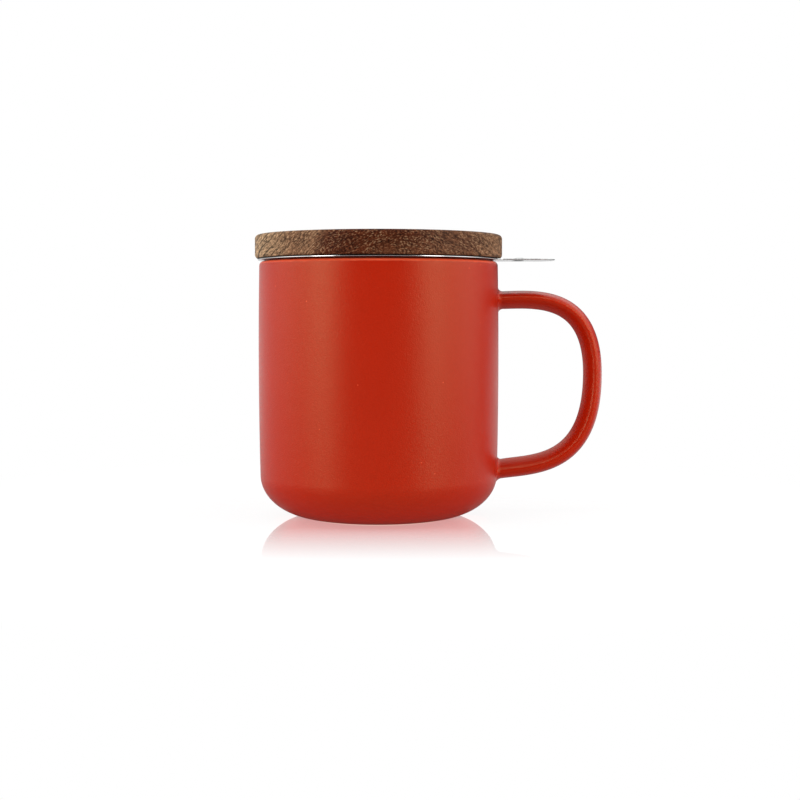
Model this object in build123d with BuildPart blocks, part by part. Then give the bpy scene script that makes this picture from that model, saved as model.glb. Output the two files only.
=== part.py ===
from build123d import *
import os
from math import floor, pi, sqrt

# A stoneware mug with a loop handle, a steel tea basket that hangs in it by a flange on the rim, and a
# turned wooden lid whose plug and sealing ring go into the basket's neck.
# Millimetres, +Z up, origin at the centre of the foot, handle and finger tab towards +X.

# ---- Mug body: stoneware, turned about Z ----
BODY_HEIGHT = 93.0  # foot to rim
BODY_RADIUS = 43.35  # outside, both at the rim and where the heel begins
BODY_SWELL = 0.42  # how far the side bulges out between those two
BODY_WALL = 4.0
FLOOR_THICKNESS = 5.0  # foot plane to the inside floor
HEEL_REACH = 21.1  # the heel's quarter ellipse, measured inwards
HEEL_HEIGHT = 15.4  # and upwards
HEEL_RISE = 2.6  # how much higher the heel ends inside than outside
RIM_OUTER_ROUND = 1.6
RIM_INNER_ROUND = 1.2
FOOT_RING_WIDTH = 4.0
FOOT_RECESS = 1.5  # depth of the hollow inside the foot ring
FOOT_ROUND = 0.7

# ---- Mug handle: an oval bar along two curves, from the upper root round to the lower one ----
HANDLE_ROOT_DROP = 14.0  # rim down to the bar's middle at the upper root
HANDLE_ROOT_HEIGHT = 16.9  # foot up to the bar's middle at the lower root
HANDLE_REACH = 34.95  # body's radius out to the bar's middle at its widest
HANDLE_WIDTH = 12.0  # across, along Y
HANDLE_TOP_THICKNESS = 6.8
HANDLE_BOTTOM_THICKNESS = 7.8
HANDLE_BELLY = 0.562  # where it is widest, as a share of the way up between the roots
TOP_ROOT_PULL = 0.345  # the curves' pulls at the roots, as shares of the reach
BOTTOM_ROOT_PULL = 0.325
BOTTOM_ROOT_LIFT = 0.07  # of the lower curve's height
TOP_BEND_PULL = 1.155  # and at the belly, as shares of each curve's height
BOTTOM_BEND_PULL = 1.03
HANDLE_SINK = 3.0  # how far the bar runs into the body before it is cut to the body's side

# ---- Tea basket: stainless sheet ----
SHEET = 0.4
FLANGE_THICKNESS = 0.8  # the sheet folded double
FLANGE_OVERHANG = 0.55  # beyond the body's radius at the rim
FLANGE_EDGE_ROUND = 0.3
NECK_CLEARANCE = 0.75  # between the neck and the mug's inside
NECK_HEIGHT = 12.0  # plain band, from the flange's top down
NECK_MOUTH_ROUND = 1.2  # where the flange turns down into the neck, on top
NECK_THROAT_ROUND = 0.8  # and beneath
BASKET_FLOOR_GAP = 20.0  # mug's floor to the underside of the basket
BASE_LIP_HEIGHT = 3.0  # upturned edge of the base, inside the wall
BASE_LIP_CLEARANCE = 0.1

# Strainer slots
SLOT_WIDTH = 0.8
WALL_SLOT_LENGTH = 7.0
WALL_SLOT_PITCH = 3.3  # round the wall, middle to middle
WALL_ROW_BRIDGE = 2.4  # plain steel between two rows
WALL_PLAIN_EDGE = 3.5  # plain steel at the wall's two ends, at least
BASE_SLOT_LENGTH = 6.0
BASE_SLOT_PITCH = 3.6
BASE_RING_BRIDGE = 2.4
BASE_PLAIN_EDGE = 3.5
BASE_PLAIN_CENTRE = 4.0

# Finger tab, one piece with the flange
TAB_REACH = 20.2  # flange's edge to the tab's tip
TAB_WIDTH = 20.0
TAB_TIP_ROUND = 8.0
TAB_ROOT_ROUND = 4.0
TAB_BEAD_START = 4.6  # flange's edge to the raised bead
TAB_BEAD_WIDTH = 5.2
TAB_BEAD_LENGTH = 11.0
TAB_BEAD_HEIGHT = 0.6
TAB_BEAD_ROUND = 0.5

# ---- Lid: turned wood with a sealing ring ----
LID_OVERHANG = 1.55  # beyond the body's radius at the rim
LID_THICKNESS = 8.7
LID_TOP_ROUND = 1.5
LID_BOTTOM_ROUND = 1.6
PLUG_CLEARANCE = 0.7  # between the plug and the inside of the neck
PLUG_DEPTH = 9.0
PLUG_ROUND = 1.0
GROOVE_DROP = 3.5  # lid's underside to the top of the ring's groove
GROOVE_HEIGHT = 3.0
GROOVE_DEPTH = 1.8
SEAL_CLEARANCE = 0.25  # between the ring and the inside of the neck
SEAL_ROUND = 0.9

# ---- Radii and heights that follow from them ----
cavity_radius = BODY_RADIUS - BODY_WALL
cavity_heel_top = HEEL_HEIGHT + HEEL_RISE
foot_inner = BODY_RADIUS - HEEL_REACH - FOOT_RING_WIDTH

neck_radius = cavity_radius - NECK_CLEARANCE
neck_bore = neck_radius - SHEET
flange_radius = BODY_RADIUS + FLANGE_OVERHANG
flange_top = BODY_HEIGHT + FLANGE_THICKNESS
neck_bottom = flange_top - NECK_HEIGHT
basket_bottom = FLOOR_THICKNESS + BASKET_FLOOR_GAP
wall_bottom = basket_bottom + SHEET
wall_height = neck_bottom - wall_bottom
base_lip_radius = neck_bore - BASE_LIP_CLEARANCE
tab_root = sqrt(flange_radius**2 - (TAB_WIDTH / 2) ** 2)
tab_tip = flange_radius + TAB_REACH
bead_middle = flange_radius + TAB_BEAD_START + TAB_BEAD_WIDTH / 2

lid_radius = BODY_RADIUS + LID_OVERHANG
plug_radius = neck_bore - PLUG_CLEARANCE
groove_radius = plug_radius - GROOVE_DEPTH
groove_bottom = flange_top - GROOVE_DROP - GROOVE_HEIGHT
seal_radius = neck_bore - SEAL_CLEARANCE


def draw_cup(radius, heel_top, heel_reach, heel_height):
    """In the open sketch: half section of a bulging side over a quarter-ellipse heel, up to the rim."""
    with BuildLine() as outline:
        heel = EllipticalCenterArc(
            (radius - heel_reach, heel_top), heel_reach, heel_height, start_angle=-90, arc_size=90
        )
        bulge = (radius + BODY_SWELL, (heel_top + BODY_HEIGHT) / 2)
        side = ThreePointArc(heel @ 1, bulge, (radius, BODY_HEIGHT))
        Polyline(side @ 1, (0, BODY_HEIGHT), (0, heel_top - heel_height), heel @ 0)
    make_face(outline.edges())


def draw_ring(outer, inner):
    """In the open sketch: a flat ring."""
    Circle(outer)
    Circle(inner, mode=Mode.SUBTRACT)


def circle_edge(part, radius, height):
    """The part's circular edge at one height whose radius is nearest to the one asked for."""
    circles = part.edges().filter_by(GeomType.CIRCLE)
    level = circles.filter_by_position(Axis.Z, height - 0.01, height + 0.01)
    return level.sort_by(lambda edge: abs(edge.radius - radius))[0]


def slot_circle(radius, height, count, turn=0.0):
    """Places for one circle of slots, each facing away from the axis."""
    angles = [360 * (slot + turn) / count for slot in range(count)]
    return [Location((0, 0, height), (0, 0, angle)) * Location((radius, 0, 0)) for angle in angles]


def cut_slots(places, radial_length, height):
    """In the open part: cuts a slot at every place, from its height upwards."""
    rising = (Align.CENTER, Align.CENTER, Align.MIN)
    with Locations(places):
        Box(radial_length, SLOT_WIDTH, height, align=rising, mode=Mode.SUBTRACT)


# ---- Mug body ----
with BuildPart() as mug_blank:
    with BuildSketch(Plane.XZ):
        draw_cup(BODY_RADIUS, HEEL_HEIGHT, HEEL_REACH, HEEL_HEIGHT)
    revolve(axis=Axis.Z)

with BuildPart() as mug_body:
    add(mug_blank.part)
    with BuildSketch(Plane.XZ):
        draw_cup(
            cavity_radius, cavity_heel_top, HEEL_REACH - BODY_WALL, cavity_heel_top - FLOOR_THICKNESS
        )
    revolve(axis=Axis.Z, mode=Mode.SUBTRACT)
    with BuildSketch(Plane.XY):
        Circle(foot_inner)
    extrude(amount=FOOT_RECESS, mode=Mode.SUBTRACT)
    fillet(circle_edge(mug_body, BODY_RADIUS, BODY_HEIGHT), radius=min(RIM_OUTER_ROUND, 0.4 * BODY_WALL))
    fillet(circle_edge(mug_body, cavity_radius, BODY_HEIGHT), radius=min(RIM_INNER_ROUND, 0.3 * BODY_WALL))
    fillet(circle_edge(mug_body, foot_inner, 0), radius=min(FOOT_ROUND, 0.4 * FOOT_RING_WIDTH))
mug_body.part.label = "mug_body"

# ---- Mug handle ----
top_root = BODY_HEIGHT - HANDLE_ROOT_DROP
belly = HANDLE_ROOT_HEIGHT + HANDLE_BELLY * (top_root - HANDLE_ROOT_HEIGHT)
belly_reach = BODY_RADIUS + HANDLE_REACH
top_bend = belly + TOP_BEND_PULL * (top_root - belly)
bottom_bend = belly - BOTTOM_BEND_PULL * (belly - HANDLE_ROOT_HEIGHT)
bottom_pull = BOTTOM_ROOT_PULL * HANDLE_REACH
bottom_lift = BOTTOM_ROOT_LIFT * (belly - HANDLE_ROOT_HEIGHT)
sunk_radius = BODY_RADIUS - HANDLE_SINK
sunk_root = HANDLE_ROOT_HEIGHT - HANDLE_SINK * bottom_lift / bottom_pull

with BuildPart() as mug_handle:
    with BuildLine(Plane.XZ) as bar_path:
        Line((sunk_radius, top_root), (BODY_RADIUS, top_root))
        Bezier(
            (BODY_RADIUS, top_root),
            (BODY_RADIUS + TOP_ROOT_PULL * HANDLE_REACH, top_root),
            (belly_reach, top_bend),
            (belly_reach, belly),
        )
        Bezier(
            (belly_reach, belly),
            (belly_reach, bottom_bend),
            (BODY_RADIUS + bottom_pull, HANDLE_ROOT_HEIGHT + bottom_lift),
            (BODY_RADIUS, HANDLE_ROOT_HEIGHT),
        )
        Line((BODY_RADIUS, HANDLE_ROOT_HEIGHT), (sunk_radius, sunk_root))
    bar = bar_path.line
    with BuildSketch(Plane(bar @ 0, x_dir=(0, 1, 0), z_dir=bar % 0)) as top_section:
        Ellipse(HANDLE_WIDTH / 2, HANDLE_TOP_THICKNESS / 2)
    with BuildSketch(Plane(bar @ 1, x_dir=(0, 1, 0), z_dir=bar % 1)) as bottom_section:
        Ellipse(HANDLE_WIDTH / 2, HANDLE_BOTTOM_THICKNESS / 2)
    sweep(sections=[top_section.sketch, bottom_section.sketch], path=bar, multisection=True)
    add(mug_blank.part, mode=Mode.SUBTRACT)
mug_handle.part.label = "mug_handle"

# ---- Basket's rim: flange, finger tab and neck, pressed from one sheet ----
with BuildPart() as infuser_rim:
    with BuildSketch(Plane.XY.offset(BODY_HEIGHT)):
        Circle(flange_radius)
        with Locations((tab_tip / 2, 0)):
            Rectangle(tab_tip, TAB_WIDTH)
        tab_corners = vertices().sort_by(Axis.X)[-2:]
        fillet(tab_corners, radius=min(TAB_TIP_ROUND, 0.4 * TAB_WIDTH, 0.6 * TAB_REACH))
        tab_roots = vertices().sort_by_distance((tab_root, 0))[:2]
        fillet(tab_roots, radius=min(TAB_ROOT_ROUND, 0.3 * TAB_REACH))
        Circle(neck_bore, mode=Mode.SUBTRACT)
    extrude(amount=FLANGE_THICKNESS)
    top_edges = faces().sort_by(Axis.Z)[-1].outer_wire().edges()
    bottom_edges = faces().sort_by(Axis.Z)[0].outer_wire().edges()
    fillet(top_edges + bottom_edges, radius=min(FLANGE_EDGE_ROUND, 0.4 * FLANGE_THICKNESS))
    with BuildSketch(Plane.XY.offset(neck_bottom)):
        draw_ring(neck_radius, neck_bore)
    extrude(amount=NECK_HEIGHT - FLANGE_THICKNESS)
    fillet(circle_edge(infuser_rim, neck_bore, flange_top), radius=NECK_MOUTH_ROUND)
    fillet(circle_edge(infuser_rim, neck_radius, BODY_HEIGHT), radius=NECK_THROAT_ROUND)
    with BuildSketch(Plane.XY.offset(flange_top)):
        with Locations((bead_middle, 0)):
            SlotOverall(TAB_BEAD_LENGTH, TAB_BEAD_WIDTH, rotation=90)
    extrude(amount=TAB_BEAD_HEIGHT)
    fillet(faces().sort_by(Axis.Z)[-1].edges(), radius=min(TAB_BEAD_ROUND, 0.8 * TAB_BEAD_HEIGHT))
infuser_rim.part.label = "infuser_rim"

# ---- Basket's wall: slotted sheet rolled into a tube, its upper edge butted to the neck ----
slots_round = floor(2 * pi * neck_radius / WALL_SLOT_PITCH)
row_pitch = WALL_SLOT_LENGTH + WALL_ROW_BRIDGE
slot_rows = floor((wall_height - 2 * WALL_PLAIN_EDGE + WALL_ROW_BRIDGE) / row_pitch)
first_row = wall_bottom + (wall_height - slot_rows * row_pitch + WALL_ROW_BRIDGE) / 2
wall_middle = neck_radius - SHEET / 2

wall_slots = []
for row in range(slot_rows):
    wall_slots += slot_circle(wall_middle, first_row + row * row_pitch, slots_round, row % 2 / 2)

with BuildPart() as infuser_wall:
    with BuildSketch(Plane.XY.offset(wall_bottom)):
        draw_ring(neck_radius, neck_bore)
    extrude(amount=wall_height)
    cut_slots(wall_slots, 4 * SHEET, WALL_SLOT_LENGTH)
infuser_wall.part.label = "infuser_wall"

# ---- Basket's base: slotted disc under the wall, with a lip standing inside it ----
base_slot_step = BASE_SLOT_LENGTH + BASE_RING_BRIDGE
slot_span = base_lip_radius - SHEET - BASE_PLAIN_EDGE - BASE_PLAIN_CENTRE
slot_rings = floor((slot_span + BASE_RING_BRIDGE) / base_slot_step)
outer_slot_middle = base_lip_radius - SHEET - BASE_PLAIN_EDGE - BASE_SLOT_LENGTH / 2
base_slots = []
for slot_ring in range(slot_rings):
    ring_radius = outer_slot_middle - slot_ring * base_slot_step
    slot_count = floor(2 * pi * (ring_radius - BASE_SLOT_LENGTH / 2) / BASE_SLOT_PITCH)
    base_slots += slot_circle(ring_radius, basket_bottom, slot_count)

with BuildPart() as infuser_base:
    with BuildSketch(Plane.XY.offset(basket_bottom)):
        Circle(neck_radius)
    extrude(amount=SHEET)
    cut_slots(base_slots, BASE_SLOT_LENGTH, SHEET)
    with BuildSketch(Plane.XY.offset(wall_bottom)):
        draw_ring(base_lip_radius, base_lip_radius - SHEET)
    extrude(amount=BASE_LIP_HEIGHT)
infuser_base.part.label = "infuser_base"

# ---- Lid: disc and plug turned from one board, with a groove round the plug ----
with BuildPart() as lid_disc:
    with BuildSketch(Plane.XY.offset(flange_top)):
        Circle(lid_radius)
    extrude(amount=LID_THICKNESS)
    fillet(edges().sort_by(Axis.Z)[-1], radius=LID_TOP_ROUND)
    fillet(circle_edge(lid_disc, lid_radius, flange_top), radius=LID_BOTTOM_ROUND)
    with BuildSketch(Plane.XY.offset(flange_top)):
        Circle(plug_radius)
    extrude(amount=-PLUG_DEPTH)
    fillet(circle_edge(lid_disc, plug_radius, flange_top - PLUG_DEPTH), radius=PLUG_ROUND)
    with BuildSketch(Plane.XY.offset(groove_bottom)):
        draw_ring(plug_radius, groove_radius)
    extrude(amount=GROOVE_HEIGHT, mode=Mode.SUBTRACT)
lid_disc.part.label = "lid_disc"

# ---- Lid's sealing ring ----
with BuildPart() as lid_seal:
    with BuildSketch(Plane.XY.offset(groove_bottom)):
        draw_ring(seal_radius, groove_radius)
    extrude(amount=GROOVE_HEIGHT)
    lip_edges = [
        circle_edge(lid_seal, seal_radius, groove_bottom),
        circle_edge(lid_seal, seal_radius, groove_bottom + GROOVE_HEIGHT),
    ]
    fillet(lip_edges, radius=min(SEAL_ROUND, 0.4 * GROOVE_HEIGHT))
lid_seal.part.label = "lid_seal"

# ---- One STEP file per piece ----
os.makedirs("parts", exist_ok=True)
for piece in (mug_body, mug_handle, infuser_rim, infuser_wall, infuser_base, lid_disc, lid_seal):
    export_step(piece.part, f"parts/{piece.part.label}.step")
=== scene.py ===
import math

import bmesh
import bpy
import numpy as np
from bpy.props import FloatProperty, FloatVectorProperty, IntProperty, PointerProperty
from bpy.types import Operator, Panel, PropertyGroup
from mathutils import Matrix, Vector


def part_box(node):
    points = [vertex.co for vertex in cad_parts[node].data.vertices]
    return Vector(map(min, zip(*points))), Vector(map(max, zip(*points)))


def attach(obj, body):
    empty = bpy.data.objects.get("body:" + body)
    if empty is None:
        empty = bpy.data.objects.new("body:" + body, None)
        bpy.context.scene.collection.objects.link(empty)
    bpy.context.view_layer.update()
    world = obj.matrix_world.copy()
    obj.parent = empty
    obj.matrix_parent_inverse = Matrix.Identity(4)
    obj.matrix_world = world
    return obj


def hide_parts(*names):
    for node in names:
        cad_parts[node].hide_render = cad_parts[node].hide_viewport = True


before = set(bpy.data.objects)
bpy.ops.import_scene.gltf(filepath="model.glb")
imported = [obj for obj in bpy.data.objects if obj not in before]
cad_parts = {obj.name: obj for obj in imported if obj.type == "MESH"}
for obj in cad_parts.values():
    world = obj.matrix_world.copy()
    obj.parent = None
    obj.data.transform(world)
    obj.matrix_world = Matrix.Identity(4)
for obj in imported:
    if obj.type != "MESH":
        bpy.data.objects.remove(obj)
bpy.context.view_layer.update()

bl_info = {
    "name": "Lidded Tea Mug",
    "version": (1, 0, 0),
    "blender": (4, 5, 0),
    "location": "View3D > Sidebar > Tea Mug",
    "description": "Dresses a stoneware tea mug, its steel basket and its turned wooden lid",
    "category": "Add Mesh",
}

MM = 0.001
SAME_PLACE = 0.0001 * MM  # neighbours on a profile that are closer than this are one point
WELD_REACH = 0.0005 * MM  # points of a mesh that are closer than this are welded

# Corners of the solids that the sizes below start from.
BODY_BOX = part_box("mug_body")
HANDLE_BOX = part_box("mug_handle")
RIM_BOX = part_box("infuser_rim")
WALL_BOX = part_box("infuser_wall")
BASE_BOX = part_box("infuser_base")
LID_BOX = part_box("lid_disc")
SEAL_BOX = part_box("lid_seal")
BODY_SWELL = 0.42 * MM


# ---- Sizes and colours that a user would change ----


def length(name, description, default):
    """A length in metres, shown in the scene's own unit."""
    return FloatProperty(name=name, description=description, default=default, unit="LENGTH", precision=5)


def share(name, description, default, **limits):
    """A plain ratio."""
    return FloatProperty(
        name=name, description=description, default=default, subtype="FACTOR", precision=3, **limits
    )


def colour(name, description, red, green, blue):
    """A colour given as the 0 to 255 values that a screen shows, kept as linear light."""
    linear = [screen_to_linear(value / 255) for value in (red, green, blue)]
    return FloatVectorProperty(
        name=name, description=description, subtype="COLOR", size=3, min=0, max=1, default=linear
    )


def screen_to_linear(value):
    """One channel of a screen colour, 0 to 1, as linear light."""
    return value / 12.92 if value <= 0.04045 else ((value + 0.055) / 1.055) ** 2.4


class BodySizes(PropertyGroup):
    """The turned mug body."""

    height: length("Height", "Foot to rim", BODY_BOX[1].z)
    radius: length("Radius", "Outside, at the rim and above the heel", BODY_BOX[1].x - BODY_SWELL)
    swell: length("Swell", "How far the side bulges between rim and heel", BODY_SWELL)
    wall: length("Wall", "Thickness of the side", 4.0 * MM)
    floor: length("Floor", "Foot plane to the inside floor", 5.0 * MM)
    heel_reach: length("Heel reach", "The rounded heel, measured inwards", 20.2 * MM)
    heel_height: length("Heel height", "The rounded heel, measured upwards", 15.4 * MM)
    heel_rise: length("Heel rise", "How much higher the heel ends inside", 2.6 * MM)
    rim_outer: length("Rim, outside", "Radius of the rim's outer edge", 1.6 * MM)
    rim_inner: length("Rim, inside", "Radius of the rim's inner edge", 1.2 * MM)
    foot_ring: length("Foot ring", "Width of the ring it stands on", 4.0 * MM)
    foot_recess: length("Foot hollow", "Depth of the hollow in the foot ring", 1.5 * MM)
    foot_round: length("Foot edge", "Radius of the ring's inner edge", 0.7 * MM)
    turns: IntProperty(name="Steps round", description="Faces round the body", default=320, min=24)


class HandleSizes(PropertyGroup):
    """The oval handle."""

    root_drop: length("Upper root", "Rim down to the bar's middle", 14.0 * MM)
    root_height: length("Lower root", "Foot up to the bar's middle", 16.9 * MM)
    reach: length("Reach", "Body's radius out to the bar's middle", 34.95 * MM)
    width: length("Width", "Across the bar", HANDLE_BOX[1].y - HANDLE_BOX[0].y)
    top_thickness: length("Thickness, top", "In the handle's plane, at the upper root", 6.5 * MM)
    bottom_thickness: length("Thickness, bottom", "In the handle's plane, at the lower root", 7.4 * MM)
    pinch: share("Pinch", "How much the bar narrows to a soft ridge; 0 is an ellipse", 0.7, min=0, max=2)
    lean: share("Lean", "How far the ridge lies outwards, as a share of half the thickness", 0.14)
    belly: share("Belly", "Widest point, as a share of the way up between the roots", 0.562)
    flare: length("Root flare", "Radius of the slip that blends each root into the side", 1.7 * MM)
    steps: IntProperty(name="Steps along", description="Rings along the bar", default=260, min=24)


class BasketSizes(PropertyGroup):
    """The steel basket."""

    sheet: length("Sheet", "Thickness of the steel", 0.4 * MM)
    flange: length("Flange", "Thickness of the folded flange", 0.8 * MM)
    flange_radius: length("Flange radius", "Outside", -RIM_BOX[0].x)
    neck_radius: length("Neck radius", "Outside", WALL_BOX[1].x)
    edge_round: length("Edge", "Radius of the flange's edges", 0.2 * MM)
    tab_edge_round: length("Tab edge", "Radius of the tab's edges", 0.39 * MM)
    mouth_round: length("Mouth", "Bend from flange to neck, on top", 1.2 * MM)
    throat_round: length("Throat", "Bend from flange to neck, beneath", 0.8 * MM)
    tab_width: length("Tab width", "Across the finger tab", 20.0 * MM)
    tab_tip_round: length("Tab corners", "Radius of the tab's corners", 8.0 * MM)
    tab_root_round: length("Tab root", "Radius where tab meets flange", 4.0 * MM)
    thinning: length(
        "Thinning", "How much thinner the outer edge and the tab are than the folded flange", 0.40 * MM
    )
    thin_edge: length("Thin edge", "How far the thinner steel reaches in from the flange's edge", 2.2 * MM)
    bead_start: length("Bead", "Flange's edge to the raised bead", 4.6 * MM)
    bead_width: length("Bead width", "Along the tab", 5.2 * MM)
    bead_length: length("Bead length", "Across the tab", 11.0 * MM)
    bead_height: length("Bead height", "Above the tab", 0.5 * MM)
    slot_width: length("Slot width", "Strainer slots", 0.8 * MM)
    wall_slot: length("Wall slots", "Length of a slot in the wall", 7.0 * MM)
    wall_pitch: length("Wall pitch", "Slot to slot round the wall", 3.3 * MM)
    wall_bridge: length("Wall bridge", "Plain steel between two rows", 2.4 * MM)
    wall_edge: length("Wall edge", "Least plain steel at the wall's two ends", 3.5 * MM)
    base_slot: length("Base slots", "Length of a slot in the base", 6.0 * MM)
    base_pitch: length("Base pitch", "Slot to slot round a ring", 3.6 * MM)
    base_bridge: length("Base bridge", "Plain steel between two rings", 2.4 * MM)
    base_edge: length("Base edge", "Plain steel inside the lip", 3.5 * MM)
    base_centre: length("Base centre", "Least plain steel in the middle", 4.0 * MM)
    lip_clearance: length("Lip clearance", "Base's lip to the wall", 0.1 * MM)


class LidSizes(PropertyGroup):
    """The turned lid and its ring."""

    radius: length("Radius", "Outside", -LID_BOX[0].x)
    thickness: length("Thickness", "Of the disc", 8.7 * MM)
    top_round: length("Top edge", "Radius of the upper edge", 1.5 * MM)
    bottom_round: length("Bottom edge", "Radius of the lower edge", 1.6 * MM)
    plug_clearance: length("Plug clearance", "Plug to the inside of the neck", 0.7 * MM)
    plug_round: length("Plug edge", "Radius of the plug's lower edge", 1.0 * MM)
    groove_depth: length("Groove", "Depth of the ring's groove", 1.8 * MM)
    turns: IntProperty(name="Steps round", description="Faces round the lid", default=320, min=24)


class Finishes(PropertyGroup):
    """Colours, as they look in even light."""

    glaze: colour("Glaze", "Satin orange-red outside", 168, 26, 4)
    # Thin glaze, made paler than thin glaze alone so that it also paints the highlight along the rim's outer
    # curve.
    thin_glaze_and_highlight: colour("Thin glaze", "Where the glaze breaks over the rim", 240, 92, 58)
    liner: colour("Liner", "Glossy glaze inside", 236, 230, 218)
    clay: colour("Clay", "Bare foot ring", 196, 170, 138)
    heartwood: colour("Heartwood", "Darkest wood", 82, 35, 14)
    innerwood: colour("Inner wood", "Inside the darkest rings", 108, 66, 42)
    midwood: colour("Middle wood", "Between heart and sap", 127, 90, 64)
    sapwood: colour("Sapwood", "Palest wood", 171, 139, 105)
    steel: colour("Steel", "Satin stainless sheet", 200, 201, 200)
    silicone: colour("Silicone", "Sealing ring", 226, 226, 220)


# ---- Surfaces worked out from numbers ----


def side_by_side(*values):
    """Arrays or numbers next to each other: the last axis of the new array tells them apart."""
    return np.stack(np.broadcast_arrays(*values), axis=-1)


def arc(centre, radii, start, end, count):
    """Points on an ellipse: centre plus radii times cosine and sine, start and end in degrees. One number
    for the radii gives a circle."""
    angle = np.radians(np.linspace(start, end, count))
    return np.array(centre) + radii * side_by_side(np.cos(angle), np.sin(angle))


def join(*runs):
    """One line of points out of several runs, without the doubled points where they meet."""
    points = np.concatenate(runs)
    moved = np.linalg.norm(np.diff(points, axis=0), axis=1) > SAME_PLACE
    return points[np.concatenate([[True], moved])]


def way_along(line):
    """How far it is along a line from its start to each of its points."""
    return np.concatenate([[0], np.cumsum(np.linalg.norm(np.diff(line, axis=0), axis=1))])


def read_along(way, run, values):
    """Rows of values, known at the distances run, read at other distances."""
    return side_by_side(*(np.interp(way, run, column) for column in values.T))


def smooth_step(value, low, high):
    """0 below low, 1 above high, and 3t^2 - 2t^3 between them."""
    t = np.clip((value - low) / (high - low), 0, 1)
    return t * t * (3 - 2 * t)


def grid_faces(rows, columns, closed=False):
    """Quads between neighbours of a grid that closes along its rows, and down its columns if asked."""
    row, column = np.meshgrid(np.arange(rows if closed else rows - 1), np.arange(columns), indexing="ij")
    below, after = (row + 1) % rows, (column + 1) % columns
    corners = [(row, column), (row, after), (below, after), (below, column)]
    return side_by_side(*(r * columns + c for r, c in corners)).reshape(-1, 4)


def turn(profile, steps, closed=False):
    """A profile of radius and height carried round Z: x = r cos a, y = r sin a. Where it starts or ends on
    the axis, the ring's points are one place and are welded."""
    angle = np.arange(steps) * 2 * np.pi / steps
    points = round_point(profile[:, :1], angle, profile[:, 1:])
    return points, grid_faces(len(profile), steps, closed)


def round_point(radius, angle, height):
    """Cylinder: x = r cos a, y = r sin a, z = height."""
    return side_by_side(radius * np.cos(angle), radius * np.sin(angle), height)


def gather(parts):
    """One list of points and one of faces out of several."""
    points, faces, count = [], [], 0
    for part_points, part_faces in parts:
        flat = part_points.reshape(-1, 3)
        points.append(flat)
        faces += (part_faces + count).tolist()
        count += len(flat)
    return np.concatenate(points), faces


def add_object(name, data):
    """A new object in the scene."""
    item = bpy.data.objects.new(name, data)
    bpy.context.scene.collection.objects.link(item)
    return item


def put_piece(name, points, faces, body, node, finish, sharp=None, marks=None):
    """Makes the mesh, checks that it is closed and faces outwards, parents the piece to its body's empty and
    hides the CAD part it stands for.
    """
    mesh = bpy.data.meshes.new(name)
    mesh.from_pydata(points.reshape(-1, 3), [], list(faces))
    for mark, values in (marks or {}).items():
        mesh.attributes.new(mark, "FLOAT", "POINT").data.foreach_set("value", values.astype(np.float32))
    shell = bmesh.new()
    shell.from_mesh(mesh)
    bmesh.ops.remove_doubles(shell, verts=shell.verts, dist=WELD_REACH)
    volume = shell.calc_volume(signed=True)
    open_edges = sum(not edge.is_manifold for edge in shell.edges)
    shell.to_mesh(mesh)
    shell.free()
    if volume <= 0 or open_edges:
        raise RuntimeError(f"{name}: volume {volume}, {open_edges} open edges")
    mesh.shade_smooth()
    if sharp:
        mesh.set_sharp_from_angle(angle=math.radians(sharp))
    mesh.materials.append(finish)
    piece = add_object(name, mesh)
    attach(piece, body)
    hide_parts(node)


# ---- The mug ----


def bulging_side(height, radius, low, high, swell):
    """Radius at a height: the plain radius plus a parabola that is zero at both ends."""
    middle, half = (low + high) / 2, (high - low) / 2
    return radius + swell * (1 - ((height - middle) / half) ** 2)


def cup_line(radius, heel_top, heel_reach, heel_height, mug, heel_count, side_count, top):
    """Quarter-ellipse heel, ended where its slope is the side's, and the bulging side up to the rim's arc."""
    slope = 4 * mug.swell / (mug.height - heel_top)
    end = -math.degrees(math.atan(slope * heel_height / heel_reach))
    heel = arc((radius - heel_reach, heel_top), (heel_reach, heel_height), -90, end, heel_count)
    height = np.linspace(heel[-1, 1], top, side_count + 1)[1:]
    side = bulging_side(height, radius, heel_top, mug.height, mug.swell)
    return join(heel, side_by_side(side, height))


def outside_radius(height, mug):
    """The body's outer radius at a height: the heel's ellipse below, the bulging side above."""
    drop = np.clip((mug.heel_height - height) / mug.heel_height, 0, 1)
    heel = mug.radius - mug.heel_reach + mug.heel_reach * np.sqrt(1 - drop**2)
    side = bulging_side(height, mug.radius, mug.heel_height, mug.height, mug.swell)
    return np.where(height < mug.heel_height, heel, side)


def body_profile(mug):
    """From the middle of the hollow in the foot, out, up, over the rim and down to the inside floor."""
    foot_inner = mug.radius - mug.heel_reach - mug.foot_ring
    cavity = mug.radius - mug.wall
    heel_top = mug.heel_height + mug.heel_rise
    corner = 0.5 * MM
    hollow = np.linspace((0, mug.foot_recess), (foot_inner - corner, mug.foot_recess), 10)
    hollow_corner = arc((foot_inner - corner, mug.foot_recess - corner), corner, 90, 0, 5)
    ring = mug.foot_round
    foot_edge = arc((foot_inner + ring, ring), ring, 180, 270, 7)
    outer, inner = mug.rim_outer, mug.rim_inner
    lean = math.degrees(math.atan(4 * mug.swell / (mug.height - mug.heel_height)))
    out_top = mug.height - outer + outer * math.sin(math.radians(lean))
    outside = cup_line(mug.radius, mug.heel_height, mug.heel_reach, mug.heel_height, mug, 46, 44, out_top)
    out_at = outside[-1, 0] - outer * math.cos(math.radians(lean))
    rim_out = arc((out_at, mug.height - outer), outer, lean, 90, 12)
    in_top = mug.height - inner - inner * math.sin(math.radians(lean))
    inside = cup_line(
        cavity, heel_top, mug.heel_reach - mug.wall, heel_top - mug.floor, mug, 30, 26, in_top
    )[::-1]
    in_at = inside[0, 0] + inner * math.cos(math.radians(lean))
    rim_in = arc((in_at, mug.height - inner), inner, 90, 180 + lean, 10)
    floor = np.linspace(inside[-1], (0, mug.floor), 8)
    return join(hollow, hollow_corner, foot_edge, outside, rim_out, rim_in, inside, floor)


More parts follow.
